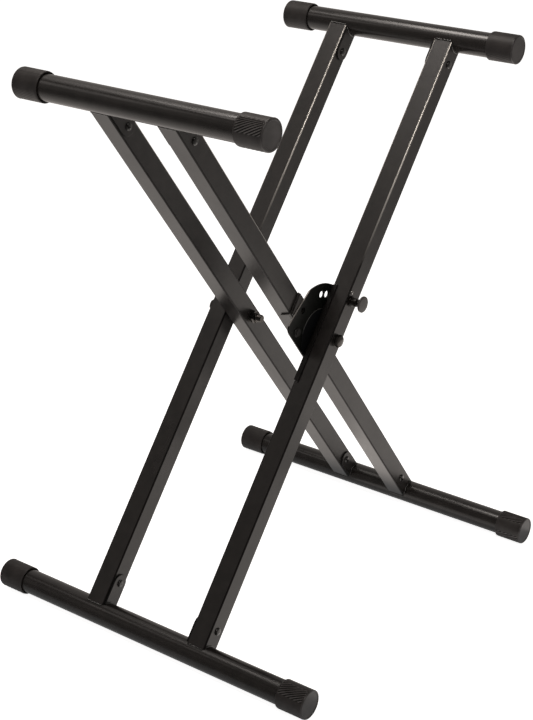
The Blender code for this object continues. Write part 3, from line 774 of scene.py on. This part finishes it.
def cap_finishes(shape, low, high, turn):
    """Number a cap's faces: 0 is its side, 1 its grooves, 2 its closed face and 3 its ridges. On the
    crisp caps the grooves take painted shade and the ridges painted light; the face's lighter colour is
    painted light.
    """
    for face in shape.faces:
        spot = face.calc_center_median()
        angle = math.atan2(spot.z, spot.x)
        outside = math.hypot(spot.x, spot.z) > TUBE_RADIUS + CAP_MOUTH_GAP
        if spot.y > -CAP_FILLET:
            face.material_index = 2
        elif low < spot.y < high and outside and field(angle, turn) > 1 / 2:
            face.material_index = 1 if knurl(angle, spot.y) < 1 / 2 else 3


def knurled_radius(radius, turn, relief, y):
    """A cap's radius at y as a function of the angle, its ridges as high as relief."""
    def radius_at(angle):
        inside = field(angle, turn)
        groove = relief * (1 - knurl(angle, y))
        return radius - groove * inside - LAND_DEPTH * (1 - inside)
    return radius_at


def cap_shape(radius, length, turn, relief):
    """A cup along +Y: its closed face is at 0, its mouth at -length; relief is the knurl's depth."""
    fit = TUBE_RADIUS + GAP
    low = -length + CAP_PLAIN
    high = -CAP_PLAIN
    rows = round((high - low) / KNURL_PITCH * KNURL_SAMPLES)
    profile = [(fit, -length + CAP_MOUTH_DEPTH), (fit + CAP_MOUTH_GAP, -length + CAP_MOUTH_GAP),
               (fit + CAP_MOUTH_GAP, -length), (radius - CAP_EDGE - LAND_DEPTH, -length),
               (radius - LAND_DEPTH, -length + CAP_EDGE)]
    for row in range(rows + 1):
        y = low + (high - low) * row / rows
        share = min(1, row, rows - row)
        profile.append((knurled_radius(radius, turn, relief * share, y), y))
    for step in range(FILLET_STEPS + 1):
        angle = math.pi / 2 * step / FILLET_STEPS
        profile.append((radius - LAND_DEPTH / 2 - CAP_FILLET * (1 - math.cos(angle)),
                        -CAP_FILLET * (1 - math.sin(angle))))
    rim = radius - CAP_FILLET - CAP_RIM
    profile += [(rim, 0), (rim - CAP_RECESS, -CAP_RECESS)]
    twist = 2 * math.pi / KNURL_RIDGES / KNURL_PITCH
    shape = turned(profile, KNURL_RIDGES * KNURL_SAMPLES, twist=twist)
    cap_finishes(shape, low, high, turn)
    return shape


def caps(finish):
    """The eight end caps; three have a crisp knurl, with painted shade in its grooves and painted light
    on its ridges, and the others a shallower one.
    """
    for tube, body in TUBES.items():
        for place, outward in (("front", -1), ("back", 1)):
            node = f"{tube}_cap_{place}"
            size = size_of(node)
            centre = middle(node)
            end = Vector((centre.x, centre.y + outward * size.y / 2, centre.z))
            turn = math.radians(KNURL_TURN[node])
            turn = turn - math.pi if outward < 0 else math.pi - turn
            crisp = node in CRISP_CAPS
            relief = KNURL_DEPTH * (1 if crisp else WORN_KNURL)
            shape = placed(cap_shape(size.z / 2, size.y, turn, relief), at(end, backward=outward < 0))
            piece = add(node + "_knurled", shape, finish["cap_plastic"], body, CAP_SHARP)
            # The crisp caps take painted shade in the grooves and painted light on the ridges; every cap
            # takes the face's painted lighter colour
            for name in ("cap_groove", "cap_face", "cap_ridge"):
                own = crisp or name == "cap_face"
                piece.data.materials.append(finish[name if own else "cap_plastic"])
            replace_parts(piece, node)


def dome(radius, height, shank, depth, flat=DOME_FLAT):
    """A domed head along +Y from 0 with a small dimple, and a stub of shank behind it."""
    profile = [(shank, -depth), (shank, 0), (radius, 0)]
    for ring in range(DOME_RINGS):
        angle = math.pi / 2 * ring / DOME_RINGS
        share = DOME_RIM + (1 - DOME_RIM) * math.sin(angle)
        profile.append((radius * math.cos(angle), height * share))
    profile += [(radius * flat, height), (radius * flat / 2, height - RIVET_DIMPLE)]
    return turned(profile)


def rivet(material, node, body, head, flat=DOME_FLAT):
    """Replace a rivet along Y by one with two round heads of a height."""
    centre = middle(node)
    radius = size_of(node).x / 2
    depth = size_of(node).y / 2 - head
    ends = []
    for y, backward in ((low_corner(node).y + head, True), (high_corner(node).y - head, False)):
        shape = dome(radius, head, RIVET_RADIUS, depth, flat)
        ends.append(placed(shape, at((centre.x, y, centre.z), backward=backward)))
    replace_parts(add(node + "_domed", merged(*ends), material, body), node)


def rivets(finish):
    """The eight rivets of the legs, and the stop rivet of the lock."""
    for tube, body in TUBES.items():
        for place in ("back", "front"):
            node = f"{tube}_rivet_{place}"
            grip = LEG + size_of(f"{tube}_tab_{place}").y + 3 * GAP
            rivet(finish["black_zinc"], node, body, (size_of(node).y - grip) / 2)
    node = "lock_stop_rivet"
    grip = size_of("lock_sector_plate").y + 2 * GAP
    rivet(finish["stop"], node, "inner_frame", (size_of(node).y - grip) / 2, STOP_FLAT)


def hex_radius(flats):
    """Radius of a hexagon as a function of the angle."""
    def radius(angle):
        return flats / 2 / math.cos(angle % (math.pi / 3) - math.pi / 6)
    return radius


def hexagon(flats, height, bore=0.0):
    """A hexagon along +Y from 0 with the turned chamfer of a real one; with a bore it is a nut."""
    top = flats / 2 * HEX_TOP
    seat = []
    chamfer = []
    for point in circle_row(hex_radius(flats), 0, HEX_ROUND):
        drop = (point.length - top) * HEX_SLOPE
        seat.append(point + Vector((0, drop, 0)))
        chamfer.append(point + Vector((0, height - drop, 0)))
    shape = bmesh.new()
    low = loop_of(shape, circle_row(top, 0, HEX_ROUND))
    high = loop_of(shape, circle_row(top, height, HEX_ROUND))
    loops = [low, loop_of(shape, seat), loop_of(shape, chamfer), high]
    if not bore:
        return skinned(shape, loops)
    for y in (height, 0):
        loops.append(loop_of(shape, circle_row(bore, y, HEX_ROUND)))
    bridge(shape, loops + [low])
    return shape


def thread(radius, start, end, pitch=THREAD_PITCH):
    """A threaded rod along +Y with a chamfered tip."""
    shape = bmesh.new()
    count = max(2, round((end - start) / pitch * THREAD_STEPS))
    loops = []
    for row in range(count + 1):
        y = start + (end - start) * row / count
        chamfer = THREAD_DEPTH * (1 - min(1.0, (end - y) / pitch))

        def reach(angle, y=y, chamfer=chamfer):
            return radius - THREAD_DEPTH * wave(y / pitch + angle / (2 * math.pi)) - chamfer

        loops.append(loop_of(shape, circle_row(reach, y, ROUND)))
    return skinned(shape, loops)


def washer_shape(radius, bore, thickness):
    """A flat washer along +Y from 0 with eased edges."""
    edge = thickness * WASHER_EASE
    profile = [(bore, 0), (radius - edge, 0), (radius, edge), (radius, thickness - edge),
               (radius - edge, thickness), (bore, thickness)]
    return turned(profile, LARGE_ROUND, hollow=True)


def washer(finish, node, body, slot):
    """Replace a washer on the pivot's axis by one with eased edges."""
    size = size_of(node)
    shape = washer_shape(size.x / 2, BOLT_RADIUS + GAP, size.y)
    shape = placed(shape, at((PIVOT.x, low_corner(node).y, PIVOT.z)))
    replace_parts(add(node + "_eased", shape, finish[slot], body), node)


def pivot_fixing(finish, place, forward):
    """Bolt, nut and washers of one pivot; the bolt's head faces -Y where forward is true."""
    bolt = f"{place}_pivot_bolt"
    nut = f"{place}_pivot_nut"
    head_washer = f"{place}_pivot_head_washer"
    flats = min(size_of(nut).x, size_of(nut).z)
    if forward:
        head_y = low_corner(head_washer).y - GAP
        head_height = head_y - low_corner(bolt).y
        seat = low_corner(nut).y
        tail = high_corner(nut).y
        length = high_corner(bolt).y - tail
    else:
        head_y = high_corner(head_washer).y + GAP
        head_height = high_corner(bolt).y - head_y
        seat = high_corner(nut).y
        tail = low_corner(nut).y
        length = tail - low_corner(bolt).y
    shank = turned([(BOLT_RADIUS, 0), (BOLT_RADIUS, abs(tail - head_y))])
    under_head = (PIVOT.x, head_y, PIVOT.z)
    pieces = (placed(hexagon(flats, head_height), at(under_head, backward=forward)),
              placed(shank, at(under_head, backward=not forward)),
              placed(thread(BOLT_RADIUS, 0, length), at((PIVOT.x, tail, PIVOT.z), backward=not forward)))
    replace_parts(add(bolt + "_threaded", merged(*pieces), finish["zinc"], "outer_frame"), bolt)
    shape = placed(hexagon(flats, size_of(nut).y, BOLT_RADIUS + GAP),
                   at((PIVOT.x, seat, PIVOT.z), backward=not forward))
    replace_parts(add(nut + "_chamfered", shape, finish["zinc"], "outer_frame"), nut)
    washer(finish, head_washer, "outer_frame", "zinc")
    washer(finish, f"{place}_pivot_nut_washer", "outer_frame", "zinc")


def bead(points, seed):
    """A weld bead along points, its ripples a little uneven."""
    shape = bmesh.new()
    loops = []
    last = len(points) - 1
    for index, point in enumerate(points):
        ahead = points[min(index + 1, last)] - points[max(index - 1, 0)]
        across = ahead.orthogonal().normalized()
        other = ahead.cross(across).normalized()
        taper = BEAD_END if index in (0, last) else 1.0
        scallop = abs(math.sin(math.pi * index / BEAD_STEPS))
        uneven = math.sin(index * UNEVEN_RATE + seed * UNEVEN_START)
        radius = BEAD_RADIUS * taper * (BEAD_THIN + BEAD_SCALLOP * scallop + BEAD_UNEVEN * uneven)
        row = []
        for side in range(BEAD_SIDES):
            angle = 2 * math.pi * side / BEAD_SIDES
            row.append(point + (across * math.cos(angle) + other * math.sin(angle)) * radius)
        loops.append(loop_of(shape, row))
    return skinned(shape, loops)


def line_points(start, end):
    """The points of a straight bead."""
    count = max(2, round((end - start).length / BEAD_RIPPLE * BEAD_STEPS))
    return [start.lerp(end, index / count) for index in range(count + 1)]


def leg_welds(finish):
    """Beads where each leg's two side walls and its face without a tab meet the tube."""
    half = LEG / 2
    height = HALF_LEG - math.sqrt(TUBE_RADIUS ** 2 - half ** 2)
    reach = half - LEG_CORNER
    for seed, (leg, body) in enumerate(LEGS.items()):
        centre_y = middle(leg).y
        bare = 1 if leg.endswith("back") else -1
        for end, name in ((1, "top"), (-1, "bottom")):
            beads = []
            for side in (-1, 1):
                start = Vector((side * half, centre_y - reach, end * height))
                stop = Vector((side * half, centre_y + reach, end * height))
                beads.append(bead(line_points(start, stop), seed + side))
            arc = []
            for point in line_points(Vector((-reach, 0, 0)), Vector((reach, 0, 0))):
                arc.append(Vector((point.x, centre_y + bare * half, end * coped_end(point.x))))
            beads.append(bead(arc, seed * 2))
            shape = placed(merged(*beads), FRAMES[body])
            add(f"{leg}_weld_{name}", shape, finish["bead"], body)


def tab_welds(finish):
    """A bead along the arc where each tab meets its tube, on the side away from the leg."""
    reach = TUBE_RADIUS + BEAD_RADIUS * TAB_WELD_RAISE
    for seed, (tube, body) in enumerate(TUBES.items()):
        centre = middle(f"{tube}_tube")
        inward = PIVOT - centre
        toward = math.atan2(inward.z, inward.x)
        for place in ("back", "front"):
            tab = f"{tube}_tab_{place}"
            y = low_corner(tab).y if place == "back" else high_corner(tab).y
            half = math.asin(width_in(tab, FRAMES[body]) / 2 / TUBE_RADIUS) * TAB_WELD_SHARE
            points = []
            for step in range(TAB_WELD_STEPS + 1):
                angle = toward + half * (2 * step / TAB_WELD_STEPS - 1)
                points.append(Vector((centre.x + reach * math.cos(angle), y,
                                      centre.z + reach * math.sin(angle))))
            add(f"{tab}_weld", bead(points, seed), finish["bead"], body)


def strap_tacks(finish):
    """Tacks at the ends of the lock strap's flanges, on the leg's sides."""
    matrix = FRAMES["outer_frame"]
    heights = [point.z for point in points_in("lock_strap", matrix)]
    y = low_corner("lock_strap").y
    beads = []
    for side in (-1, 1):
        x = side * (LEG / 2 + BEAD_RADIUS / 2)
        for z, end in ((min(heights), -1), (max(heights), 1)):
            start = Vector((x, y, z + end * BEAD_RADIUS / 2))
            beads.append(bead(line_points(start, start + Vector((0, TACK_LENGTH, 0))), side + end))
    shape = placed(merged(*beads), matrix)
    add("lock_strap_tacks", shape, finish["bead"], "outer_frame")


def small_screw(finish):
    """The bright screw beside the plunger."""
    across, up = SCREW_PLACE
    place = FRAMES["outer_frame"] @ Vector((across, 0, up))
    place.y = low_corner("outer_leg_front").y
    head = dome(SCREW_RADIUS, SCREW_HEIGHT, SCREW_RADIUS / 2, WALL)
    shape = placed(head, at(place, backward=True))
    add("lock_strap_screw", shape, finish["bright"], "outer_frame")


def plunger_knob(finish):
    """A turned knob with a thick rim and a low crown."""
    node = "plunger_knob"
    centre = middle(node)
    radius = size_of(node).x / 2
    depth = size_of(node).y
    profile = [(radius * across, depth * up) for across, up in KNOB_PROFILE]
    for share in KNOB_RINGS:
        profile.append((radius * share, depth * (KNOB_FACE + KNOB_CROWN * (1 - share ** 2))))
    base = (centre.x, high_corner(node).y, centre.z)
    shape = placed(turned(profile, HEX_ROUND), at(base, backward=True))
    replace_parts(add(node + "_satin", shape, finish["grey_plastic"], "lock_pin"), node)


def plunger_pin(finish):
    """The pin's round tip, body and stem, on which the knob sits."""
    node = "plunger_pin"
    centre = middle(node)
    radius = size_of(node).x / 2
    tip = high_corner(node).y
    shoulder = high_corner("plunger_clip").y - tip
    profile = [(radius * PIN_TIP, 0), (radius, -radius * (1 - PIN_TIP)), (radius, shoulder),
               (radius * PIN_STEM, shoulder), (radius * PIN_STEM, low_corner(node).y - tip)]
    shape = placed(turned(profile), at((centre.x, tip, centre.z)))
    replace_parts(add(node + "_round", shape, finish["barrel"], "lock_pin"), node)


def plunger_barrel(finish):
    """Threaded barrel with a smooth collar."""
    node = "plunger_barrel"
    low = low_corner(node)
    centre = middle(node)
    radius = size_of(node).x / 2
    seat = low_corner("plunger_nut").y
    collar = (seat - low.y) * COLLAR_SHARE
    core = radius * BARREL_CORE
    smooth = turned([(radius * COLLAR_END, 0), (radius, radius * COLLAR_CHAMFER), (radius, collar),
                     (core, collar + OVERLAP)])
    screw = thread(radius * BARREL_THREAD, -OVERLAP, seat - low.y - collar + OVERLAP, BARREL_PITCH)
    rest = turned([(core, 0), (core, high_corner(node).y - seat)])
    at_seat = (centre.x, seat, centre.z)
    parts = (placed(smooth, at((centre.x, low.y, centre.z))),
             placed(screw, at(at_seat, backward=True)),
             placed(rest, at(at_seat)))
    piece = add(node + "_threaded", merged(*parts), finish["barrel"], "outer_frame")
    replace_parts(piece, node)


def plunger_nut(finish):
    """The barrel's nut, its flats in line with the leg."""
    node = "plunger_nut"
    size = size_of(node)
    centre = middle("plunger_barrel")
    flats = min(size.x, size.z, width_in(node, FRAMES["outer_frame"]))
    base = (centre.x, high_corner(node).y, centre.z)
    shape = placed(hexagon(flats, size.y), at(base, HALF_OPENING, backward=True))
    piece = add(node + "_chamfered", shape, finish["barrel"], "outer_frame")
    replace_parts(piece, node)


def softbox(name, place, width, height, radiance):
    """A rectangle of light that faces the stand."""
    light = bpy.data.lights.new(name, "AREA")
    light.shape = "RECTANGLE"
    light.size = width
    light.size_y = height
    light.energy = radiance * math.pi * width * height
    light.color = WARM
    holder = new_object(name, light)
    holder.location = place
    holder.rotation_euler = (SOFTBOX_AIM - Vector(place)).to_track_quat("-Z", "Y").to_euler()
    return holder


def floor_bounce(name, x_low, x_high, y_low, y_high, radiance):
    """A lit part of the floor near the stand, which brightens the low ends of the legs."""
    place = Vector(((x_low + x_high) / 2, (y_low + y_high) / 2, BOUNCE_HEIGHT))
    holder = softbox(name, place, x_high - x_low, y_high - y_low, radiance)
    holder.rotation_euler = (math.pi, 0, 0)
    holder.visible_camera = False


def patch(world, direction, start, full, radiance):
    """A soft patch of studio light round a direction."""
    cosine = along(world, "Generated", Vector(direction).normalized())
    return spread(world, cosine, 0, radiance, start, full, curve="SMOOTHSTEP")


def surroundings():
    """Patches of light round the stand, and a plain pale backdrop for the camera."""
    world = bpy.data.worlds.new("studio")
    bpy.context.scene.world = world
    world.use_nodes = True
    nodes = world.node_tree.nodes
    links = world.node_tree.links
    first, *others = PATCHES
    total = patch(world, *first)
    for values in others:
        total = maths(world, "ADD", total, patch(world, *values))
    lit = nodes["Background"]
    lit.inputs["Color"].default_value = (*WARM, 1.0)
    links.new(total, lit.inputs["Strength"])
    backdrop = nodes.new("ShaderNodeBackground")
    backdrop.inputs["Color"].default_value = (*WHITE, 1.0)
    backdrop.inputs["Strength"].default_value = BACKDROP
    to_camera = nodes.new("ShaderNodeLightPath").outputs["Is Camera Ray"]
    seen = mixed(world, to_camera, lit.outputs["Background"], backdrop.outputs["Background"])
    links.new(seen, nodes["World Output"].inputs["Surface"])


def studio():
    """Surroundings, softboxes over the stand and lit parts of the floor."""
    surroundings()
    for name, values in SOFTBOXES.items():
        softbox(name, *values)
    for name, values in BOUNCES.items():
        floor_bounce(name, *values)


def floor_paper():
    """A pale surface, which reflections show only as a dark contact where it is close."""
    material, shader = new_material("floor_paper", FLOOR_COLOUR, FLOOR_ROUGHNESS,
                                    specular=FLOOR_SPECULAR)
    shader.inputs["Emission Color"].default_value = (*WHITE, 1.0)
    shader.inputs["Emission Strength"].default_value = FLOOR_GLOW
    nodes = material.node_tree.nodes
    rays = nodes.new("ShaderNodeLightPath")
    contact = nodes.new("ShaderNodeEmission")
    contact.inputs["Strength"].default_value = CONTACT_GLOW
    clear = nodes.new("ShaderNodeBsdfTransparent").outputs["BSDF"]
    fade = spread(material, rays.outputs["Ray Length"], 0, 1, CONTACT_NEAR, CONTACT_FAR, "SMOOTHSTEP")
    reflected = mixed(material, fade, contact.outputs["Emission"], clear)
    seen = mixed(material, rays.outputs["Is Glossy Ray"], shader.outputs["BSDF"], reflected)
    material.node_tree.links.new(seen, nodes["Material Output"].inputs["Surface"])
    return material


def floor():
    """A plain pale floor."""
    shape = bmesh.new()
    bmesh.ops.create_circle(shape, cap_ends=True, segments=FLOOR_ROUND, radius=FLOOR_RADIUS)
    mesh = bpy.data.meshes.new("floor")
    shape.to_mesh(mesh)
    shape.free()
    mesh.materials.append(floor_paper())
    new_object("floor", mesh)


def camera():
    """The camera at the photograph's viewing angle."""
    back = Vector((math.sin(CAMERA_AZIMUTH) * math.cos(CAMERA_ELEVATION),
                   -math.cos(CAMERA_AZIMUTH) * math.cos(CAMERA_ELEVATION), math.sin(CAMERA_ELEVATION)))
    right = (-back).cross(Vector((0, 0, 1))).normalized()
    up = right.cross(-back)
    across = right * math.cos(CAMERA_ROLL) + up * math.sin(CAMERA_ROLL)
    upward = up * math.cos(CAMERA_ROLL) - right * math.sin(CAMERA_ROLL)
    place = Matrix((across, upward, back)).transposed().to_4x4()
    place.translation = CAMERA_TARGET + back * CAMERA_DISTANCE
    lens = bpy.data.cameras.new("camera")
    lens.lens = CAMERA_LENS
    viewer = new_object("camera", lens)
    viewer.matrix_world = place
    bpy.context.scene.camera = viewer


def dress():
    """Make every piece of the stand's looks."""
    finish = {**slot_finishes(), **lock_finishes(), **trim_finishes()}
    paint_nodes(finish)
    soften_edges()
    smooth_tubes(finish)
    smooth_legs(finish)
    caps(finish)
    rivets(finish)
    pivot_fixing(finish, "back", forward=False)
    pivot_fixing(finish, "front", forward=True)
    washer(finish, "back_pivot_spacer", "outer_frame", "nylon")
    washer(finish, "lock_disc", "inner_frame", "nylon")
    leg_welds(finish)
    tab_welds(finish)
    strap_tacks(finish)
    small_screw(finish)
    plunger_knob(finish)
    plunger_pin(finish)
    plunger_barrel(finish)
    plunger_nut(finish)


bpy.context.scene.view_settings.view_transform = "Standard"
camera()
floor()
studio()
dress()
